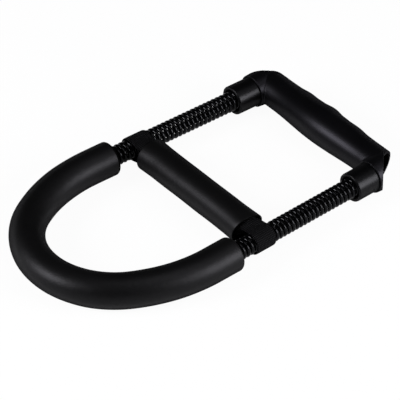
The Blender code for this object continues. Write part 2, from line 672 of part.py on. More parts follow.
make_bow_tube()
make_bow_foam()
PAD_PIECES = [make_pad_foam(), make_pad_core(), make_webbing()]
HANDLE_PIECES = [make_grip(), make_grip_core()]
for label, side in SIDES:
    make_tube_cap(f"tube_cap_{label}", side)
    make_stop_ring(f"spring_stop_{label}", side)
    make_spring(f"spring_{label}", side)
    HANDLE_PIECES += [
        make_collar(f"collar_{label}", side), make_plug(f"spring_plug_{label}", side),
        make_washer(f"plug_washer_{label}", side), make_screw(f"plug_screw_{label}", side)]
carry("pad_slide", pad_frame().translation, PAD_PIECES)
carry("handle_pivot", Vector((0.0, leg_point(FLEX_ON_LEG, 1).y, AXIS_Z)), HANDLE_PIECES)
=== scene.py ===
"""The looks of the wrist trainer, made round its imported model.

X runs along the grip, Y from the bow to the grip and Z up. Sizes are in metres. Left is the side with
negative X. A place on a leg is its distance past the end of the bow's bend.
"""

import math

import bmesh
import bpy
from mathutils import Matrix, Vector, noise


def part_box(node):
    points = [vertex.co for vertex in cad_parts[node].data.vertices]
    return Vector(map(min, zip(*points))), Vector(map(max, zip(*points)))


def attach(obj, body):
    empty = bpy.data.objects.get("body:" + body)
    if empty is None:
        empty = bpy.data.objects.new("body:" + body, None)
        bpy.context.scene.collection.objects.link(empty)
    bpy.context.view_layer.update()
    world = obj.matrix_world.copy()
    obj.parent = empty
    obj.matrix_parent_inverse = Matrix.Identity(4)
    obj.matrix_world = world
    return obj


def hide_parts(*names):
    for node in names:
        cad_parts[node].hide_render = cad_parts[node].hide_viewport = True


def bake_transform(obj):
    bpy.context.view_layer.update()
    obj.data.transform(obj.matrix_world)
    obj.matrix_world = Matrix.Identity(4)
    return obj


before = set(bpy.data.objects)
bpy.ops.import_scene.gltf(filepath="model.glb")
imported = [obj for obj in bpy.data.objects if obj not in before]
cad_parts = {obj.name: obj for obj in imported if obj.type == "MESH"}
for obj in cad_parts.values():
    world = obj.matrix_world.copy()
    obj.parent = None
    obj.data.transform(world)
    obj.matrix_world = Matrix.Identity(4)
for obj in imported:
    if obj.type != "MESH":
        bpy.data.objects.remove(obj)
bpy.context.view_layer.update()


# The view of the photograph. The camera stands high over the right leg of the bow, nearly three metres
# away, behind a long lens that keeps the two legs almost parallel.
VIEW_ROUND = math.radians(50.77)
VIEW_ABOVE = math.radians(39.107)
VIEW_DISTANCE = 2.7487
VIEW_TARGET = Vector((0.0102, 0.0035, 0.0145))
VIEW_ANGLE = math.radians(6.8219)

looking = Vector((
    -math.sin(VIEW_ROUND) * math.cos(VIEW_ABOVE), math.cos(VIEW_ROUND) * math.cos(VIEW_ABOVE),
    -math.sin(VIEW_ABOVE)))
camera = bpy.data.objects.new("camera", bpy.data.cameras.new("camera"))
bpy.context.collection.objects.link(camera)
camera.data.angle = VIEW_ANGLE
camera.location = VIEW_TARGET - looking * VIEW_DISTANCE
camera.rotation_euler = looking.to_track_quat("-Z", "Y").to_euler()
bpy.context.scene.camera = camera


# The bow's tube: mild steel, bent cold into a nose arc and two wider side arcs, with straight legs that
# toe in towards the grip. It is painted satin black. The springs hide all that the foam leaves bare.
TUBE_BLACK = (0.006, 0.006, 0.007)
PAINT_PEEL = 0.00003
NOSE_RADIUS = 0.0722
NOSE_ARC = math.radians(60.1)
LEG_HALF_SPACING = 0.0804
LEG_TOE_IN = math.radians(1.63)

tube_low, tube_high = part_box("bow_tube")
AXIS_Z = (tube_low.z + tube_high.z) / 2
NOSE_Y = tube_low.y + (tube_high.z - tube_low.z) / 2
BEND_ARC = math.pi / 2 + LEG_TOE_IN
SIDE_RADIUS = (LEG_HALF_SPACING - NOSE_RADIUS * math.sin(NOSE_ARC)) / (
    math.sin(BEND_ARC) - math.sin(NOSE_ARC))
NOSE_LENGTH = NOSE_RADIUS * NOSE_ARC
BEND_LENGTH = NOSE_LENGTH + SIDE_RADIUS * (BEND_ARC - NOSE_ARC)


def arc_point(radius, angle):
    """A point on an arc that leaves the origin along X and turns towards Y."""
    return Vector((radius * math.sin(angle), radius * (1 - math.cos(angle)), 0.0))


def bow_place(along):
    """The tube's middle at a distance along it from the nose, and the direction in which it runs there."""
    away = abs(along)
    if away < NOSE_LENGTH:
        angle = away / NOSE_RADIUS
        point = arc_point(NOSE_RADIUS, angle)
    else:
        angle = min(NOSE_ARC + (away - NOSE_LENGTH) / SIDE_RADIUS, BEND_ARC)
        point = arc_point(NOSE_RADIUS, NOSE_ARC) + arc_point(SIDE_RADIUS, angle)
        point -= arc_point(SIDE_RADIUS, NOSE_ARC)
    run = Vector((math.cos(angle), math.sin(angle), 0.0))
    point += run * max(0.0, away - BEND_LENGTH) + Vector((0.0, NOSE_Y, AXIS_Z))
    if along < 0:
        return Vector((-point.x, point.y, point.z)), Vector((run.x, -run.y, 0.0))
    return point, run


def leg_frame(along, side):
    """A frame on one leg: its Z runs towards the grip and its Y up."""
    point, run = bow_place(side * (BEND_LENGTH + along))
    forward = run * side
    up = Vector((0.0, 0.0, 1.0))
    turn = Matrix((up.cross(forward), up, forward)).transposed().to_4x4()
    return Matrix.Translation(point) @ turn


def finish(name, sockets):
    """A new material whose shader sockets are set by name."""
    made = bpy.data.materials.new(name)
    made.use_nodes = True
    shader = made.node_tree.nodes["Principled BSDF"]
    for socket, value in sockets.items():
        shader.inputs[socket].default_value = value
    return made


def add(look, kind, sockets, **links):
    """A new node in a material, with sockets set by name and others fed by the outputs given."""
    node = look.node_tree.nodes.new("ShaderNode" + kind)
    for socket, value in sockets.items():
        node.inputs[socket].default_value = value
    for socket, output in links.items():
        look.node_tree.links.new(output, node.inputs[socket.replace("_", " ")])
    return node


def feed(look, socket, output):
    """Feeds one of the shader's own sockets."""
    look.node_tree.links.new(output, look.node_tree.nodes["Principled BSDF"].inputs[socket])


def graded(look, factor, low, high, start=0.3, end=0.7):
    """A colour or a grey that goes from low to high as a factor goes from start to end."""
    ramp = add(look, "ValToRGB", {}, Fac=factor)
    for element, place, value in zip(ramp.color_ramp.elements, (start, end), (low, high)):
        element.position = place
        element.color = (*value, 1.0) if isinstance(value, tuple) else (value, value, value, 1.0)
    return ramp.outputs["Color"]


def relief(look, steps):
    """Bump from several heights, each a (output, depth in metres) pair, laid one on the other."""
    normal = None
    for output, depth in steps:
        bump = add(look, "Bump", {"Strength": 1.0, "Distance": depth}, Height=output)
        if normal:
            look.node_tree.links.new(normal, bump.inputs["Normal"])
        normal = bump.outputs["Normal"]
    feed(look, "Normal", normal)


def object_place(look):
    """The place on the piece, in metres."""
    return add(look, "TexCoord", {}).outputs["Object"]


def satin_paint(name, colour):
    """Sprayed paint: a faint orange peel, and dull spots where hands and tools have rubbed it."""
    look = finish(name, {"Base Color": (*colour, 1.0), "Specular IOR Level": 0.15})
    place = object_place(look)
    peel = add(look, "TexNoise", {"Scale": 700.0, "Detail": 2.0}, Vector=place)
    rubbed = add(look, "TexNoise", {"Scale": 90.0, "Detail": 5.0}, Vector=place)
    feed(look, "Roughness", graded(look, rubbed.outputs["Fac"], 0.34, 0.5))
    relief(look, [(peel.outputs["Fac"], PAINT_PEEL)])
    return look


def dress(node, look):
    """Gives a CAD node its finished material."""
    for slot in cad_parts[node].material_slots:
        slot.material = look


TUBE_PAINT = satin_paint("tube_paint", TUBE_BLACK)
dress("bow_tube", TUBE_PAINT)


# Stop rings and end caps. A zinc-plated ring is tacked on each leg where the spring's first coil stands,
# and a nylon bullet closes each end of the tube, so that the spring slides off it without a mark.
ZINC_GREY = (0.52, 0.53, 0.55)
ZINC_CLOUD = 0.00002
CORE_GREY = (0.012, 0.012, 0.013)
FLOW_MARKS = 0.00003
SIDES = {"left": -1, "right": 1}


def zinc_plate(name):
    """Bright zinc with the faint cloudiness of barrel plating."""
    look = finish(name, {"Base Color": (*ZINC_GREY, 1.0), "Metallic": 1.0})
    place = object_place(look)
    cloud = add(look, "TexNoise", {"Scale": 260.0, "Detail": 6.0}, Vector=place)
    feed(look, "Roughness", graded(look, cloud.outputs["Fac"], 0.24, 0.42))
    relief(look, [(cloud.outputs["Fac"], ZINC_CLOUD)])
    return look


def extruded_plastic(name, colour):
    """Plain extruded or moulded plastic with fine flow marks."""
    look = finish(name, {"Base Color": (*colour, 1.0)})
    place = object_place(look)
    flow = add(look, "TexNoise", {"Scale": 420.0, "Detail": 3.0}, Vector=place)
    feed(look, "Roughness", graded(look, flow.outputs["Fac"], 0.42, 0.58))
    relief(look, [(flow.outputs["Fac"], FLOW_MARKS)])
    return look


ZINC = zinc_plate("zinc_plate")
CORE_PLASTIC = extruded_plastic("core_plastic", CORE_GREY)
for side_name in SIDES:
    dress(f"spring_stop_{side_name}", ZINC)
    dress(f"tube_cap_{side_name}", CORE_PLASTIC)


# The bow's foam sleeve: black closed-cell rubber foam, extruded with a skin and pushed along the tube
# with soapy water. It is pressed flat where it lies on the floor, and its cut ends are a little rounded.
FOAM_BLACK = (0.0008, 0.0008, 0.0008)
FOAM_WORN = (0.0024, 0.0024, 0.0025)
FOAM_SHINE = 0.133
FOAM_RIM = 0.0025
FOAM_SIDES = 72
FOAM_RING_SPACING = 0.0022
FOAM_UNEVENNESS = 0.00022
FOAM_WAVES_PER_METRE = 38.0
FOAM_BORE_DEPTH = 0.018
FOAM_BORE_EDGE = 0.0006
FOAM_GRIPS_TUBE_BY = 0.003
FOAM_DENTS = 0.0003
FOAM_CELLS = 0.00003
FOAM_GRAIN = 0.000012
CUT_CELLS = 0.0003
RIM_STEPS = 6
NEARLY_MATT = 0.95
FIT_GAP = 0.0003

foam_low, foam_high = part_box("bow_foam")
FOAM_RADIUS = NOSE_Y - foam_low.y
spring_low, spring_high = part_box("spring_right")
SPRING_RADIUS = (spring_high.z - spring_low.z) / 2
leg_end, leg_run = bow_place(BEND_LENGTH)
FOAM_END = (foam_high.y - leg_end.y) / leg_run.y


def ring_at(along, radius, sides, unevenness=0.0):
    """A ring of points round the bow's middle line."""
    middle, run = bow_place(along)
    up = Vector((0.0, 0.0, 1.0))
    across = run.cross(up)
    ring = []
    for i in range(sides):
        angle = 2 * math.pi * i / sides
        out = across * math.cos(angle) + up * math.sin(angle)
        point = middle + out * radius
        point += out * unevenness * noise.noise(point * FOAM_WAVES_PER_METRE)
        point.z = max(point.z, 0.0)
        ring.append(point)
    return ring


def skin(name, rings, look, closed=False):
    """A smooth mesh skinned over rings of points, each joined to the next."""
    sides = len(rings[0])
    faces = []
    for i in range(len(rings) if closed else len(rings) - 1):
        near = i * sides
        far = (i + 1) % len(rings) * sides
        for k in range(sides):
            faces.append((near + k, near + (k + 1) % sides, far + (k + 1) % sides, far + k))
    if not closed:
        faces.append(tuple(reversed(range(sides))))
        faces.append(tuple(range((len(rings) - 1) * sides, len(rings) * sides)))
    mesh = bpy.data.meshes.new(name)
    mesh.from_pydata([tuple(point) for ring in rings for point in ring], [], faces)
    work = bmesh.new()
    work.from_mesh(mesh)
    bmesh.ops.recalc_face_normals(work, faces=work.faces)
    work.to_mesh(mesh)
    work.free()
    mesh.shade_smooth()
    mesh.materials.append(look)
    piece = bpy.data.objects.new(name, mesh)
    bpy.context.collection.objects.link(piece)
    return piece


def worked(look, operation, *terms, clamp=False):
    """The outcome of a sum or the like in a material, whose terms are numbers or outputs."""
    node = add(look, "Math", {})
    node.operation = operation
    node.use_clamp = clamp
    for i, term in enumerate(terms):
        if isinstance(term, float):
            node.inputs[i].default_value = term
        else:
            look.node_tree.links.new(term, node.inputs[i])
    return node.outputs["Value"]


def dull_edges(look, roughness):
    """Roughness that rises to nearly matt where the surface turns away, as on a skin full of fine pits."""
    facing = add(look, "LayerWeight", {"Blend": 0.5}).outputs["Facing"]
    edge = graded(look, facing, 0.0, NEARLY_MATT, 0.2, 0.75)
    feed(look, "Roughness", worked(look, "MAXIMUM", roughness, edge))


def foam_skin(name):
    """Matt foam: tiny cells under the skin, soft dents, and paler rubbed patches."""
    look = finish(name, {"Specular IOR Level": FOAM_SHINE, "Specular Tint": (0.97, 0.96, 1.0, 1.0)})
    place = object_place(look)
    cells = add(look, "TexVoronoi", {"Scale": 1500.0}, Vector=place)
    grain = add(look, "TexNoise", {"Scale": 2600.0, "Detail": 3.0}, Vector=place)
    dents = add(look, "TexNoise", {"Scale": 70.0, "Detail": 4.0, "Roughness": 0.6}, Vector=place)
    worn = add(look, "TexNoise", {"Scale": 26.0, "Detail": 6.0, "Roughness": 0.65}, Vector=place)
    feed(look, "Base Color", graded(look, worn.outputs["Fac"], FOAM_BLACK, FOAM_WORN, 0.35, 0.75))
    dull_edges(look, graded(look, worn.outputs["Fac"], 0.48, 0.4, 0.35, 0.75))
    relief(look, [
        (dents.outputs["Fac"], FOAM_DENTS), (cells.outputs["Distance"], FOAM_CELLS),
        (grain.outputs["Fac"], FOAM_GRAIN)])
    return look


def cut_foam(name):
    """Foam where the knife has opened its cells: dull and rough, with painted shade that darkens it a
    little, most in the middle of each open cell.
    """
    look = finish(name, {"Specular IOR Level": 0.02, "Roughness": 0.9})
    place = object_place(look)
    cells = add(look, "TexVoronoi", {"Scale": 900.0}, Vector=place)
    # Painted shade: the pit of each open cell is painted darker, down to half the foam's black.
    painted_pit_shade = tuple(grey / 2 for grey in FOAM_BLACK)
    feed(look, "Base Color", graded(look, cells.outputs["Distance"], painted_pit_shade, FOAM_BLACK, 0.1, 0.6))
    relief(look, [(cells.outputs["Distance"], CUT_CELLS)])
    return look


FOAM = foam_skin("foam_skin")
CUT_FOAM = cut_foam("cut_foam")


def dress_ends(piece, sides, whole_rings):
    """Gives the faces past a sleeve's whole skin the look of cut foam."""
    piece.data.materials.append(CUT_FOAM)
    for polygon in piece.data.polygons:
        lowest = min(polygon.vertices) // sides
        highest = max(polygon.vertices) // sides
        if highest >= whole_rings and not (lowest < whole_rings and highest == whole_rings):
            polygon.material_index = 1


def rounded_rim(reach, radius, rim):
    """The (along, radius) places of a sleeve's rounded rim, from where its straight side ends."""
    places = []
    for i in range(1, RIM_STEPS + 1):
        angle = math.pi / 2 * i / RIM_STEPS
        places.append((reach + rim * math.sin(angle), radius - rim * (1 - math.cos(angle))))
    return places


def make_foam_sleeve():
    """The sleeve's outside, its rounded ends and its bore, as one closed skin."""
    reach = BEND_LENGTH + FOAM_END - FOAM_RIM
    count = round(2 * reach / FOAM_RING_SPACING)
    rings = []
    for i in range(count + 1):
        rings.append(ring_at(reach * (2 * i / count - 1), FOAM_RADIUS, FOAM_SIDES, FOAM_UNEVENNESS))
    bore = SPRING_RADIUS + FIT_GAP
    deep = reach + FOAM_RIM - FOAM_BORE_DEPTH
    end = rounded_rim(reach, FOAM_RADIUS, FOAM_RIM)
    end.append((reach + FOAM_RIM, bore + FOAM_BORE_EDGE))
    end.append((reach + FOAM_RIM - FOAM_BORE_EDGE, bore))
    end.append((deep, bore))
    right = [ring_at(along, radius, FOAM_SIDES) for along, radius in end]
    left = [ring_at(-along, radius, FOAM_SIDES) for along, radius in reversed(end)]
    inner_steps = 60
    inside = []
    for i in range(inner_steps + 1):
        inside.append(ring_at(deep * (1 - 2 * i / inner_steps), bore - FOAM_GRIPS_TUBE_BY, FOAM_SIDES))
    sleeve = skin("foam_sleeve", rings + right + inside + left, FOAM, closed=True)
    dress_ends(sleeve, FOAM_SIDES, len(rings) + RIM_STEPS // 2)
    return sleeve


foam_sleeve = make_foam_sleeve()
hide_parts("bow_foam")
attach(foam_sleeve, "frame")


# The springs: one length of spring wire each, wound right-handed and lacquered glossy black. The first
# coils stand on the stop rings and the last are screwed over the plugs in the collars.
SPRING_BLACK = (0.0008, 0.0008, 0.001)
WIRE = 0.0036
CURLS = 37.25
CURL_POINTS = 28
WIRE_SIDES = 10
CLOSED_CURLS = 1.5
FREE_FROM = 0.094
FREE_TO = 0.149
DRAW_LINES = 0.000003

SPRING_START = (spring_low.y - leg_end.y) / leg_run.y
SPRING_END = (spring_high.y - leg_end.y) / leg_run.y


def spring_lacquer(name):
    """Glossy baked lacquer over drawn wire, with fine draw lines and duller specks."""
    look = finish(name, {
        "Base Color": (*SPRING_BLACK, 1.0), "Specular IOR Level": 0.115,
        "Specular Tint": (0.95, 0.96, 1.0, 1.0)})
    place = object_place(look)
    specks = add(look, "TexNoise", {"Scale": 1100.0, "Detail": 3.0}, Vector=place)
    feed(look, "Roughness", graded(look, specks.outputs["Fac"], 0.08, 0.15, 0.4, 0.75))
    relief(look, [(specks.outputs["Fac"], DRAW_LINES)])
    return look


def coil_height(turn, length):
    """How far along the spring a turn lies: close curls at both ends, and an even pitch between them."""
    pitch = (length - WIRE - 2 * CLOSED_CURLS * WIRE) / (CURLS - 2 * CLOSED_CURLS)
    opened = min(max(turn - CLOSED_CURLS, 0.0), CURLS - 2 * CLOSED_CURLS)
    return WIRE / 2 + turn * WIRE + opened * (pitch - WIRE)


def make_spring(name, side, look):
    """One coil spring as a tube along its helix."""
    length = SPRING_END - SPRING_START
    radius = SPRING_RADIUS - WIRE / 2
    place = leg_frame(SPRING_START, side)
    count = round(CURLS * CURL_POINTS)
    line = []
    for i in range(count + 1):
        turn = i / CURL_POINTS
        angle = 2 * math.pi * turn
        line.append(Vector((radius * math.cos(angle), radius * math.sin(angle), coil_height(turn, length))))
    rings = []
    for i, point in enumerate(line):
        run = (line[min(i + 1, count)] - line[max(i - 1, 0)]).normalized()
        out = Vector((point.x, point.y, 0.0)).normalized()
        out = (out - run * out.dot(run)).normalized()
        beside = run.cross(out)
        ring = []
        for k in range(WIRE_SIDES):
            angle = 2 * math.pi * k / WIRE_SIDES
            ring.append(place @ (point + (out * math.cos(angle) + beside * math.sin(angle)) * WIRE / 2))
        rings.append(ring)
    return skin(name, rings, look)


LACQUER = spring_lacquer("spring_lacquer")
for side_name, side in SIDES.items():
    coil = make_spring(f"coil_spring_{side_name}", side, LACQUER)
    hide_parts(f"spring_{side_name}")
    leg_frame(FREE_FROM, side).translation
    leg_frame(FREE_TO, side).translation
    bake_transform(coil)


# The forearm pad: the same foam as the bow's, a softer and shorter sleeve slid over a stiff core tube.
# Its bore is opened at both ends for the webbing, which swells the ends a little.
PAD_RING_SPACING = 0.0020
PAD_SIDES = 72
PAD_RIM = 0.0010
PAD_RADIUS = 0.0146
PAD_MOUTH_RADIUS = 0.0138
PAD_MOUTH_DEPTH = 0.012
PAD_MOUTH_EDGE = 0.0008
PAD_MOUTH_STEPS = 6
PAD_FLARE_LENGTH = 0.018
PAD_END_FLATTENING = 0.0012
PAD_PULLED_OUT = 0.0052
PAD_PULLED_TOWARDS = Vector((0.0, 0.3, 0.954))
PAD_WAVES_PER_METRE = 45.0

pad_low, pad_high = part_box("pad_foam")
core_low, core_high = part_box("pad_core_tube")
PAD_HALF = (pad_high.x - pad_low.x) / 2
PAD_Y = (pad_low.y + pad_high.y) / 2
PAD_Z = (core_low.z + core_high.z) / 2
PAD_END_RADIUS = (pad_high.y - pad_low.y) / 2
PAD_BORE = (core_high.z - core_low.z) / 2


def eased(share):
    """A share from 0 to 1 that starts and ends gently."""
    return share * share * (3 - 2 * share)


def pad_flare(x):
    """How much of the ends' swelling there is at a place along the pad, from 0 to 1."""
    return eased(min(max((abs(x) - PAD_HALF + PAD_FLARE_LENGTH) / PAD_FLARE_LENGTH, 0.0), 1.0))


def pad_ring(x, radius, outside):
    """A ring of points round the pad's middle line.

    The tape presses each end a little flat outside, and has pulled out the top of the right end.
    """
    flare = pad_flare(x)
    pulled = PAD_PULLED_OUT if x > 0 else 0.0
    if outside:
        pulled *= flare
    else:
        pulled *= (1 - (PAD_HALF - abs(x)) / PAD_MOUTH_DEPTH) ** 4
    ring = []
    for i in range(PAD_SIDES):
        angle = 2 * math.pi * i / PAD_SIDES
        out = Vector((0.0, math.cos(angle), math.sin(angle)))
        point = Vector((x, PAD_Y, PAD_Z)) + out * radius
        if outside:
            point += out * FOAM_UNEVENNESS * (1 - flare) * noise.noise(point * PAD_WAVES_PER_METRE)
            point.z -= PAD_END_FLATTENING * flare * out.z * abs(out.z)
        point.x += pulled * ((1 + out.dot(PAD_PULLED_TOWARDS)) / 2) ** 2
        point.z = max(point.z, FIT_GAP)
        ring.append(point)
    return ring


def make_pad():
    """The pad's outside, its round rims, its two mouths and its bore, as one closed skin."""
    reach = PAD_HALF - PAD_RIM
    count = round(2 * reach / PAD_RING_SPACING)
    rings = []
    for i in range(count + 1):
        x = reach * (2 * i / count - 1)
        rings.append(pad_ring(x, PAD_RADIUS + (PAD_END_RADIUS - PAD_RADIUS) * pad_flare(x), True))
    end = rounded_rim(reach, PAD_END_RADIUS, PAD_RIM)
    mouth_x = PAD_HALF - PAD_MOUTH_EDGE
    mouth = PAD_MOUTH_RADIUS - PAD_MOUTH_EDGE
    for i in range(PAD_MOUTH_STEPS + 1):
        share = i / PAD_MOUTH_STEPS
        inward = (PAD_MOUTH_DEPTH - PAD_MOUTH_EDGE) * share
        end.append((mouth_x - inward, mouth + (PAD_BORE - mouth) * eased(share)))
    right = [pad_ring(x, radius, i < RIM_STEPS) for i, (x, radius) in enumerate(end)]
    left = [pad_ring(-x, radius, i < RIM_STEPS) for i, (x, radius) in enumerate(end)]
    left.reverse()
    pad = skin("forearm_pad", rings + right + left, FOAM, closed=True)
    dress_ends(pad, PAD_SIDES, len(rings) + 1)
    return pad


forearm_pad = make_pad()
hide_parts("pad_foam")
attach(forearm_pad, "pad")
dress("pad_core_tube", CORE_PLASTIC)


# The webbing: a sewn loop of black ribbed polypropylene tape. Its two plies lie together in the core
# tube, part outside it and go round each spring, so that the pad slides along the springs.
WEB_BLACK = (0.0004, 0.0004, 0.0005)
WEB_CREST_HIGHLIGHT = (0.0195, 0.0195, 0.0208)
WEB_THICKNESS = 0.0009
WEB_PLY_GAP = 0.0008
WEB_RIBS = 13
WEB_RIB_HEIGHT = 0.00022
WEB_RIB_SCALE = 208.0
WEB_PICK_SCALE = 196.0
WEB_POINTS_PER_RIB = 6
WEB_STEP = 0.0012
WEB_LEAVES_AT = math.radians(101)
WEB_HUG = 0.00055
WEB_WIDENS_PAST_CORE = 0.0220
WEB_ARCH_RISE = 0.0040
WEB_EDGE_SHARPNESS = 14
WEB_PICKS = 0.0003
WEB_FUZZ = 0.00004
CORE_INSIDE = 0.0080

web_low, web_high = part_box("webbing_loop")
WEB_WIDTH = web_high.y - web_low.y
WEB_PLY = (WEB_THICKNESS + WEB_PLY_GAP) / 2
CORE_END = core_high.x


def webbing_weave_painted_highlights(name):
    """Ribbed tape: the ribs are in the mesh, and the picks that cross them are here. Where picks and ribs
    peak together the black is painted pale, as painted highlights on the crests of the weave.
    """
    look = finish(name, {"Specular IOR Level": 0.03, "Roughness": 0.7})
    laid = add(look, "UVMap", {}).outputs["UV"]
    picks = add(look, "TexWave", {"Scale": WEB_PICK_SCALE, "Distortion": 0.8, "Detail": 1.0}, Vector=laid)
    fuzz = add(look, "TexNoise", {"Scale": 2400.0, "Detail": 3.0}, Vector=laid)
    warp = add(look, "TexWave", {"Scale": WEB_RIB_SCALE, "Distortion": 0.3}, Vector=laid)
    warp.bands_direction = "Y"
    weave_height_and_highlight = worked(look, "MULTIPLY", picks.outputs["Fac"], warp.outputs["Fac"])
    # Painted highlights: the crests where picks and ribs meet are painted pale on the black tape.
    feed(look, "Base Color", graded(look, weave_height_and_highlight, WEB_BLACK, WEB_CREST_HIGHLIGHT, 0.35, 0.8))
    relief(look, [(weave_height_and_highlight, WEB_PICKS), (fuzz.outputs["Fac"], WEB_FUZZ)])
    return look


def webbing_half_line():
    """The tape's middle line in the XZ plane: one right half, top then bottom.

    Each place is (x, z of the edges, half width, arch). The tape is flat on the spring, where the arch
    is 0, and its middle stands proud of its edges in the pad's round mouth, where the arch is 1.
    """
    narrow = math.sqrt(CORE_INSIDE ** 2 - (WEB_PLY + WEB_THICKNESS / 2) ** 2)
    full = WEB_WIDTH / 2
    spring_x = leg_frame((PAD_Y - leg_end.y) / leg_run.y, 1).translation.x
    wrap = SPRING_RADIUS + WEB_HUG + WEB_THICKNESS / 2
    slope = math.tan(WEB_LEAVES_AT - math.pi / 2)
    leave = Vector((spring_x + wrap * math.cos(WEB_LEAVES_AT), wrap * math.sin(WEB_LEAVES_AT)))
    at_mouth = leave.y - (leave.x - PAD_HALF) * slope
    upper = []
    core_steps = round(CORE_END / WEB_STEP / 2)
    for i in range(core_steps):
        upper.append((CORE_END * i / core_steps, WEB_PLY, narrow, 0.0))
    steps = round((leave.x - CORE_END) / WEB_STEP)
    for i in range(steps):
        x = CORE_END + (leave.x - CORE_END) * i / steps
        parted = eased(min((x - CORE_END) / (PAD_HALF - CORE_END), 1.0))
        wide = eased(min((x - CORE_END) / WEB_WIDENS_PAST_CORE, 1.0))
        beyond = max(x - PAD_HALF, 0.0)
        z = WEB_PLY + (at_mouth - WEB_PLY) * parted + beyond * slope
        arch = parted * eased(1 - beyond / (leave.x - PAD_HALF))
        upper.append((x, z, narrow + (full - narrow) * wide, arch))
    arc_steps = round(wrap * WEB_LEAVES_AT / WEB_STEP)
    for i in range(arc_steps + 1):
        angle = WEB_LEAVES_AT * (1 - i / arc_steps)
        upper.append((spring_x + wrap * math.cos(angle), wrap * math.sin(angle), full, 0.0))
    lower = [(x, -z, half, arch) for x, z, half, arch in reversed(upper[:-1])]
    return upper + lower


def make_webbing():
    """The loop as ribbed tape, turned a little at each end to lie square to the leg.

    Its section carries the ribs, and its UV map is laid out in metres.
    """
    right = webbing_half_line()
    left = [(-x, z, half, arch) for x, z, half, arch in reversed(right[1:-1])]
    line = right + left
    columns = WEB_RIBS * WEB_POINTS_PER_RIB
    widest = max(place[0] for place in line)
    rings = []
    travelled = [0.0]
    for i, (x, z, half, arch) in enumerate(line):
        before = line[i - 1]
        after = line[(i + 1) % len(line)]
        run = Vector((after[0] - before[0], 0.0, after[1] - before[1])).normalized()
        out = Vector((-run.z, 0.0, run.x))
        middle = Vector((x, PAD_Y, AXIS_Z + z + (PAD_Z - AXIS_Z) * arch))
        breadth = Vector((-math.tan(LEG_TOE_IN) * x / widest, 1.0, 0.0)) * half
        ring = []
        for face in (1, -1):
            for k in range(columns + 1):
                across = face * (1 - 2 * k / columns)
                rib = 0.5 - 0.5 * math.cos(2 * math.pi * WEB_RIBS * k / columns)
                edge = 1 - abs(across) ** WEB_EDGE_SHARPNESS / 2
                height = (WEB_THICKNESS / 2 - WEB_RIB_HEIGHT * (1 - rib)) * edge * face
                height += WEB_ARCH_RISE * arch * (1 - across * across)
                ring.append(middle + breadth * across + out * height)
        rings.append(ring)
        travelled.append(travelled[-1] + Vector((after[0] - x, after[1] - z)).length)
    piece = skin("webbing", rings, WEBBING, closed=True)
    sides = len(rings[0])
    layer = piece.data.uv_layers.new(name="laid_flat")
    for polygon in piece.data.polygons:
        ring_numbers = [piece.data.loops[i].vertex_index // sides for i in polygon.loop_indices]
        wraps = max(ring_numbers) - min(ring_numbers) > 1
        for i, ring_number in zip(polygon.loop_indices, ring_numbers):
            at = len(rings) if wraps and ring_number == 0 else ring_number
            across = piece.data.vertices[piece.data.loops[i].vertex_index].co.y - PAD_Y
            layer.data[i].uv = (travelled[at], across)
    return piece


WEBBING = webbing_weave_painted_highlights("webbing_weave_painted_highlights")
webbing = make_webbing()
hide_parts("webbing_loop")
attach(webbing, "strap")


# The grip: one moulding in soft black plastic with a faint grain. It is a tube that is fuller in the
# middle, with low ridges between the fingers, slanted open ends, and a hood across each end for a collar.
GRIP_BLACK = (0.0006, 0.0006, 0.0007)
GRIP_WORN = (0.0018, 0.0018, 0.0021)
GRIP_SHINE = 0.12
GRIP_REACH = 0.2961
GRIP_END_RADIUS = 0.0148
GRIP_END_SHIFT_BACK = 0.0010
GRIP_MIDDLE_RADIUS = 0.0166
GRIP_MIDDLE_SHIFT_BACK = 0.0031
GRIP_MIDDLE_LIFT = 0.0018
GRIP_SWELL_SHORT_OF_LEG = 0.0190
FINGER_RIDGES = ((-0.031, 0.0008), (0.0, 0.0014), (0.031, 0.0008))
FINGER_RIDGE_HALF_WIDTH = 0.0120
FINGER_RIDGE_FADE = 1.5
GRIP_END_PAST_LEG = -0.0028
GRIP_END_SLANT = math.radians(22.0)
GRIP_END_LEAN = math.radians(7.0)
GRIP_WALL = 0.0021
GRIP_CAVITY_SHORT_OF_LEG = 0.0230
SAME_POINT = 0.000001
LATHE_EDGE = math.radians(25)
GRIP_SIDES = 96
GRIP_STEPS = 150
GRIP_GRID = 0.0004
GRIP_GRAIN = 0.00004
HOOD_WALL = 0.0012
HOOD_REACH = 0.0175
HOOD_END_REACH = 0.0018
HOOD_END_SLANT = math.radians(48.3)
HOOD_WIDENING = 0.0022
SOCKET_WEB = 0.0018
SCREW_RADIUS = 0.0025
SCREW_HOLE = SCREW_RADIUS + FIT_GAP
COLLAR_TAPER_END_RADIUS = 0.0085

collar_low, collar_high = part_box("collar_right")
COLLAR_RADIUS = (collar_high.z - collar_low.z) / 2
GRIP_Y = NOSE_Y + GRIP_REACH
GRIP_ON_LEG = (GRIP_Y - leg_end.y) / leg_run.y
LEG_X_AT_GRIP = leg_frame(GRIP_ON_LEG, 1).translation.x
GRIP_SWELL_HALF = LEG_X_AT_GRIP - GRIP_SWELL_SHORT_OF_LEG
SOCKET_RADIUS = COLLAR_RADIUS + FIT_GAP
HOOD_RADIUS = SOCKET_RADIUS + HOOD_WALL
HOOD_FRONT = GRIP_ON_LEG - HOOD_REACH
HOOD_END_ON_LEG = GRIP_ON_LEG - HOOD_END_REACH
TAPER_SLOPE = 1 / math.tan(HOOD_END_SLANT)
COLLAR_TAPER_FROM = HOOD_END_ON_LEG - SOCKET_RADIUS * TAPER_SLOPE - SOCKET_WEB
COLLAR_END = COLLAR_TAPER_FROM + (COLLAR_RADIUS - COLLAR_TAPER_END_RADIUS) * TAPER_SLOPE
SCREW_SEAT = COLLAR_END + FIT_GAP + SOCKET_WEB


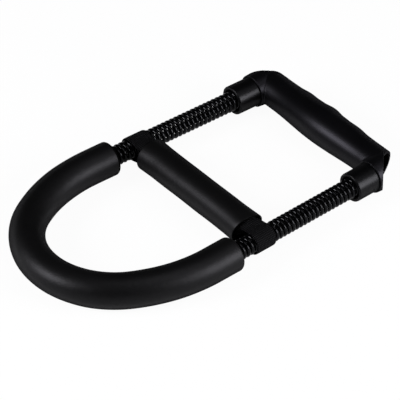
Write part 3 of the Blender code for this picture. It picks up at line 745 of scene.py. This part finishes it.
def grip_plastic(name):
    """Satin moulded plastic: a very fine grain from the tool, and a little polish where fingers close."""
    look = finish(name, {"Specular IOR Level": GRIP_SHINE, "Specular Tint": (0.9, 0.88, 1.0, 1.0)})
    place = object_place(look)
    grain = add(look, "TexNoise", {"Scale": 1900.0, "Detail": 4.0}, Vector=place)
    handled = add(look, "TexNoise", {"Scale": 34.0, "Detail": 5.0, "Roughness": 0.6}, Vector=place)
    feed(look, "Base Color", graded(look, handled.outputs["Fac"], GRIP_BLACK, GRIP_WORN, 0.35, 0.75))
    dull_edges(look, graded(look, handled.outputs["Fac"], 0.4, 0.34, 0.35, 0.75))
    relief(look, [(grain.outputs["Fac"], GRIP_GRAIN)])
    return look


def grip_section(x):
    """The middle and the radius of the grip's round section at a place along it."""
    share = (1 + math.cos(math.pi * min(1.0, abs(x) / GRIP_SWELL_HALF))) / 2
    back = GRIP_END_SHIFT_BACK + (GRIP_MIDDLE_SHIFT_BACK - GRIP_END_SHIFT_BACK) * share
    radius = GRIP_END_RADIUS + (GRIP_MIDDLE_RADIUS - GRIP_END_RADIUS) * share
    return Vector((x, GRIP_Y - back, AXIS_Z + GRIP_MIDDLE_LIFT * share)), radius


def finger_ridge(x):
    """The height of the ridges between the fingers at a place along the grip."""
    height = 0.0
    for middle, top in FINGER_RIDGES:
        away = abs(x - middle) / FINGER_RIDGE_HALF_WIDTH
        if away < 1:
            height += top * math.cos(away * math.pi / 2) ** 2
    return height


def grip_ring(x):
    """A ring of points round the grip, with the ridges on its far side and its flat underside."""
    middle, radius = grip_section(x)
    ring = []
    for i in range(GRIP_SIDES):
        angle = 2 * math.pi * i / GRIP_SIDES
        out = Vector((0.0, math.cos(angle), math.sin(angle)))
        point = middle + out * radius
        point.y += finger_ridge(x) * min(1.0, FINGER_RIDGE_FADE * max(0.0, out.y))
        point.z = max(point.z, 0.0)
        ring.append(point)
    return ring


def turned(name, profile, place, look, steps=96, rounding=0.0):
    """A turned piece: a closed profile of (radius, height) points, with its edges rounded."""
    mesh = bpy.data.meshes.new(name)
    links = [(i, (i + 1) % len(profile)) for i in range(len(profile))]
    if profile[0][0] == 0.0:
        links = links[:-1]
    mesh.from_pydata([(radius, 0.0, height) for radius, height in profile], links, [])
    piece = bpy.data.objects.new(name, mesh)
    bpy.context.collection.objects.link(piece)
    piece.matrix_world = place
    lathe = piece.modifiers.new("lathe", "SCREW")
    lathe.steps = steps
    lathe.render_steps = steps
    lathe.use_merge_vertices = True
    lathe.merge_threshold = SAME_POINT
    if rounding:
        edge = piece.modifiers.new("edge", "BEVEL")
        edge.width = rounding
        edge.segments = 3
        edge.limit_method = "ANGLE"
        edge.angle_limit = LATHE_EDGE
        piece.modifiers.new("even_shade", "WEIGHTED_NORMAL")
    if look:
        mesh.materials.append(look)
    return piece


def block(name, low, high, place):
    """A box between two corners in a frame, to cut with."""
    mesh = bpy.data.meshes.new(name)
    work = bmesh.new()
    bmesh.ops.create_cube(work, size=1.0)
    bmesh.ops.scale(work, vec=Vector(high) - Vector(low), verts=work.verts)
    bmesh.ops.translate(work, vec=(Vector(low) + Vector(high)) / 2, verts=work.verts)
    work.to_mesh(mesh)
    work.free()
    made = bpy.data.objects.new(name, mesh)
    bpy.context.collection.objects.link(made)
    made.matrix_world = place
    return made


def cut(piece, cutter, operation="DIFFERENCE"):
    """Cuts one piece with another, or joins it on."""
    step = piece.modifiers.new(cutter.name, "BOOLEAN")
    step.operation = operation
    step.solver = "EXACT"
    step.object = cutter


def settle(piece, tools=()):
    """Makes what a piece's modifiers give its own mesh, and clears the tools away."""
    bpy.context.view_layer.update()
    settled = bpy.data.meshes.new_from_object(piece.evaluated_get(bpy.context.evaluated_depsgraph_get()))
    piece.modifiers.clear()
    piece.data = settled
    for tool in tools:
        bpy.data.objects.remove(tool)


def end_block(name, far, place, side):
    """A big block beyond a plane that faces outward on one side."""
    near_x, far_x = (0.0, far) if side > 0 else (-far, 0.0)
    return block(name, (near_x, -far, -far), (far_x, far, far), place)


def make_grip():
    """The grip's tube, hoods, hollow ends and sockets, then one fine skin with softened edges."""
    half = LEG_X_AT_GRIP + 2 * GRIP_END_RADIUS
    rings = [grip_ring(half * (2 * i / GRIP_STEPS - 1)) for i in range(GRIP_STEPS + 1)]
    piece = skin("hand_grip", rings, GRIP_PLASTIC)
    far = 4 * GRIP_END_RADIUS
    tools = []
    for side in (-1, 1):
        slant = Matrix.Translation((side * (LEG_X_AT_GRIP + GRIP_END_PAST_LEG), GRIP_Y, AXIS_Z))
        slant = slant @ Matrix.Rotation(side * GRIP_END_SLANT, 4, "Z")
        slant = slant @ Matrix.Rotation(side * GRIP_END_LEAN, 4, "Y")
        tools.append(end_block(f"end_cut{side}", far, slant, side))
        cut(piece, tools[-1])
        top = HOOD_END_ON_LEG + HOOD_RADIUS * TAPER_SLOPE
        wide_end = HOOD_RADIUS + HOOD_WIDENING
        hood = turned(
            f"hood{side}", [(0.0, top), (wide_end, top), (HOOD_RADIUS, HOOD_FRONT), (0.0, HOOD_FRONT)],
            leg_frame(0.0, side), None)
        slant = Matrix.Translation(leg_frame(HOOD_END_ON_LEG, side).translation)
        slant = slant @ Matrix.Rotation(side * HOOD_END_SLANT, 4, "Z")
        tools.append(end_block(f"hood_cut{side}", far, slant, side))
        cut(hood, tools[-1])
        tools.append(hood)
        cut(piece, hood, "UNION")
    below = block("below", (-far * 4, -far * 8, -far), (far * 4, far * 8, 0.0), Matrix())
    tools.append(below)
    cut(piece, below)
    wide = GRIP_END_RADIUS - GRIP_WALL
    step = LEG_X_AT_GRIP - GRIP_CAVITY_SHORT_OF_LEG
    end = half + GRIP_END_RADIUS
    along = Matrix.Translation((0.0, GRIP_Y - GRIP_END_SHIFT_BACK, AXIS_Z))
    along = along @ Matrix.Rotation(math.pi / 2, 4, "Y")
    for side in (-1, 1):
        low, high = (step, end) if side > 0 else (-end, -step)
        hollow = turned(f"hollow{side}", [(0.0, high), (wide, high), (wide, low), (0.0, low)], along, None)
        web = 2 * HOOD_RADIUS
        keep = block(f"web{side}", (-web, -web, 0.0), (web, web, SCREW_SEAT), leg_frame(0.0, side))
        cut(hollow, keep)
        cut(piece, hollow)
        socket = turned(f"socket{side}", [
            (0.0, SCREW_SEAT + SOCKET_WEB), (SCREW_HOLE, SCREW_SEAT + SOCKET_WEB),
            (SCREW_HOLE, COLLAR_END + FIT_GAP), (COLLAR_TAPER_END_RADIUS + FIT_GAP, COLLAR_END + FIT_GAP),
            (SOCKET_RADIUS, COLLAR_TAPER_FROM + FIT_GAP), (SOCKET_RADIUS, HOOD_FRONT - HOOD_WALL),
            (0.0, HOOD_FRONT - HOOD_WALL)], leg_frame(0.0, side), None)
        cut(piece, socket)
        tools += [hollow, keep, socket]
    grid = piece.modifiers.new("grid", "REMESH")
    grid.mode = "VOXEL"
    grid.voxel_size = GRIP_GRID
    grid.use_smooth_shade = True
    soften = piece.modifiers.new("soften", "SMOOTH")
    soften.factor = 0.5
    soften.iterations = 2
    settle(piece, tools)
    piece.data.shade_smooth()
    return piece


GRIP_PLASTIC = grip_plastic("grip_plastic")
hand_grip = make_grip()
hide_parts("grip")
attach(hand_grip, "handle")
dress("grip_core_tube", TUBE_PAINT)


# The collars: smooth nylon cups, turned and lightly polished. Each holds a spring's end, and its tapered
# back is drawn into the hood by the screw.
COLLAR_BLACK = (0.0008, 0.0008, 0.0009)
COLLAR_SHINE = 0.112
COLLAR_WALL = 0.0029
COLLAR_SHOWN = 0.0218
COLLAR_FLOOR_BEFORE_TAPER = 0.0010
COLLAR_EDGE = 0.0013
TURNING_MARKS = 0.000006
NYLON_SCUFFS = 0.00001


def collar_nylon(name):
    """Smooth nylon with faint turning marks round it and small scuffs."""
    look = finish(name, {
        "Base Color": (*COLLAR_BLACK, 1.0), "Specular IOR Level": COLLAR_SHINE,
        "Specular Tint": (0.96, 0.96, 1.0, 1.0)})
    place = object_place(look)
    scuffs = add(look, "TexNoise", {"Scale": 240.0, "Detail": 6.0, "Roughness": 0.7}, Vector=place)
    turning = add(look, "TexWave", {"Scale": 900.0, "Distortion": 0.4}, Vector=place)
    turning.bands_direction = "Z"
    dull_edges(look, graded(look, scuffs.outputs["Fac"], 0.3, 0.38, 0.4, 0.75))
    relief(look, [(turning.outputs["Fac"], TURNING_MARKS), (scuffs.outputs["Fac"], NYLON_SCUFFS)])
    return look


NYLON = collar_nylon("collar_nylon")
COLLAR_FRONT = HOOD_FRONT - COLLAR_SHOWN
COLLAR_BORE = COLLAR_RADIUS - COLLAR_WALL
COLLAR_FLOOR_FACE = COLLAR_TAPER_FROM - COLLAR_FLOOR_BEFORE_TAPER
for side_name, side in SIDES.items():
    collar = turned(f"spring_collar_{side_name}", [
        (SCREW_HOLE, COLLAR_END), (COLLAR_TAPER_END_RADIUS, COLLAR_END), (COLLAR_RADIUS, COLLAR_TAPER_FROM),
        (COLLAR_RADIUS, COLLAR_FRONT), (COLLAR_BORE, COLLAR_FRONT), (COLLAR_BORE, COLLAR_FLOOR_FACE),
        (SCREW_HOLE, COLLAR_FLOOR_FACE)], leg_frame(0.0, side), NYLON, rounding=COLLAR_EDGE)
    settle(collar)
    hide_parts(f"collar_{side_name}")
    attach(collar, "handle")


# Plugs and fasteners: a zinc-plated plug in each spring's end, and a screw with its washer, put in
# through the open end of the grip, that pulls plug, collar and hood together.
SCREW_HEAD_RADIUS = 0.0040
SCREW_HEAD_HEIGHT = 0.0025
SCREW_LENGTH = 0.0180
SCREW_SIDES = 48
SCREW_EDGE = 0.0005
SCREW_CREASE = math.radians(35)
SLIVER = 0.000002
KEY_HALF_WIDTH = 0.0020
KEY_DEPTH = 0.0014
WASHER_RADIUS = 0.0050
WASHER_THICKNESS = 0.0010
WASHER_SIDES = 64
WASHER_EDGE = 0.00015


def make_screw(name, side):
    """A cap screw with a rounded head and a socket for a hexagon key."""
    seat = SCREW_SEAT + WASHER_THICKNESS + 2 * FIT_GAP
    top = seat + SCREW_HEAD_HEIGHT
    piece = turned(name, [
        (0.0, top), (SCREW_HEAD_RADIUS, top), (SCREW_HEAD_RADIUS, seat), (SCREW_RADIUS, seat),
        (SCREW_RADIUS, seat - SCREW_LENGTH), (0.0, seat - SCREW_LENGTH)],
        leg_frame(0.0, side), ZINC, SCREW_SIDES, SCREW_EDGE)
    key_corner = KEY_HALF_WIDTH / math.cos(math.pi / 6)
    key = turned(f"{name}_key", [
        (0.0, top + KEY_DEPTH), (key_corner, top + KEY_DEPTH), (key_corner, top - KEY_DEPTH),
        (0.0, top - KEY_DEPTH)], leg_frame(0.0, side), None, 6)
    cut(piece, key)
    settle(piece, [key])
    work = bmesh.new()
    work.from_mesh(piece.data)
    bmesh.ops.triangulate(work, faces=work.faces)
    bmesh.ops.dissolve_degenerate(work, dist=SLIVER, edges=work.edges)
    work.to_mesh(piece.data)
    work.free()
    piece.data.set_sharp_from_angle(angle=SCREW_CREASE)
    return piece


for side_name, side in SIDES.items():
    dress(f"spring_plug_{side_name}", ZINC)
    low = SCREW_SEAT + FIT_GAP
    high = low + WASHER_THICKNESS
    washer = turned(f"washer_{side_name}", [
        (WASHER_RADIUS, high), (WASHER_RADIUS, low), (SCREW_HOLE, low), (SCREW_HOLE, high)],
        leg_frame(0.0, side), ZINC, WASHER_SIDES, WASHER_EDGE)
    screw = make_screw(f"cap_screw_{side_name}", side)
    for piece, node in ((washer, "plug_washer"), (screw, "plug_screw")):
        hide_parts(f"{node}_{side_name}")
        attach(piece, "handle")


# The place where it was photographed: a seamless white sheet in soft studio light. The sheet is white to
# the camera and in reflections, and holds only the faintest shadow.
FLOOR_HALF = 4.0
FLOOR_DROP = 0.0002
FLOOR_WHITE = (0.8, 0.8, 0.8)
SHADOW_SHARE = 0.05
SHADOW_SHARE_IN_GLOSS = 0.8
WORLD_GREY = 0.02
WORLD_IN_GLOSS = 0.04
LAMP_TINT = (0.965, 0.96, 1.0)
LAMP_DISTANCE = 1.6


def seamless_paper(name):
    """White paper: plain to the lamps, nearly shadowless to the camera, shadowed in reflections."""
    look = finish(name, {"Base Color": (*FLOOR_WHITE, 1.0), "Roughness": 0.9})
    nodes = look.node_tree.nodes
    ray = add(look, "LightPath", {}).outputs
    clear = worked(look, "ADD", ray["Is Camera Ray"], ray["Is Transmission Ray"], clamp=True)
    seen = worked(look, "MULTIPLY", clear, 1.0 - SHADOW_SHARE)
    share = worked(
        look, "MULTIPLY_ADD", ray["Is Glossy Ray"], 1.0 - SHADOW_SHARE_IN_GLOSS, seen, clamp=True)
    glow = add(look, "Emission", {"Color": (1.0, 1.0, 1.0, 1.0), "Strength": 1.0})
    mix = add(look, "MixShader", {}, Fac=share)
    look.node_tree.links.new(nodes["Principled BSDF"].outputs["BSDF"], mix.inputs[1])
    look.node_tree.links.new(glow.outputs["Emission"], mix.inputs[2])
    look.node_tree.links.new(mix.outputs["Shader"], nodes["Material Output"].inputs["Surface"])
    return look


floor_mesh = bpy.data.meshes.new("paper")
corners = [(x * FLOOR_HALF, y * FLOOR_HALF, -FLOOR_DROP) for x, y in ((-1, -1), (1, -1), (1, 1), (-1, 1))]
floor_mesh.from_pydata(corners, [], [(0, 1, 2, 3)])
floor_mesh.materials.append(seamless_paper("seamless_paper"))
floor = bpy.data.objects.new("paper", floor_mesh)
bpy.context.collection.objects.link(floor)

world = bpy.data.worlds.new("studio")
bpy.context.scene.world = world
world.use_nodes = True
background = world.node_tree.nodes["Background"]
background.inputs["Color"].default_value = (1.0, 1.0, 1.0, 1.0)
ray = add(world, "LightPath", {}).outputs
reflected = worked(world, "MULTIPLY_ADD", ray["Is Glossy Ray"], WORLD_IN_GLOSS - WORLD_GREY, WORLD_GREY)
through = worked(world, "ADD", ray["Is Camera Ray"], ray["Is Transmission Ray"])
world_light = worked(world, "MAXIMUM", reflected, through)
world.node_tree.links.new(world_light, background.inputs["Strength"])


def softbox(name, towards, width, height, power):
    """A large soft lamp that stands in a direction from the trainer and faces it."""
    lamp = bpy.data.lights.new(name, "AREA")
    lamp.shape = "RECTANGLE"
    lamp.size = width
    lamp.size_y = height
    lamp.energy = power
    lamp.color = LAMP_TINT
    made = bpy.data.objects.new(name, lamp)
    bpy.context.collection.objects.link(made)
    made.location = Vector(towards).normalized() * LAMP_DISTANCE
    made.rotation_euler = (-made.location).to_track_quat("-Z", "Y").to_euler()


softbox("front_softbox", (-0.32, -0.82, 0.49), width=0.7, height=0.65, power=31.0)
softbox("side_softbox", (0.8, 0.481, 0.358), width=0.85, height=0.95, power=35.0)
softbox("top_softbox", (0.3, 0.2, 0.93), width=1.0, height=1.0, power=6.0)

bpy.context.scene.view_settings.view_transform = "Standard"
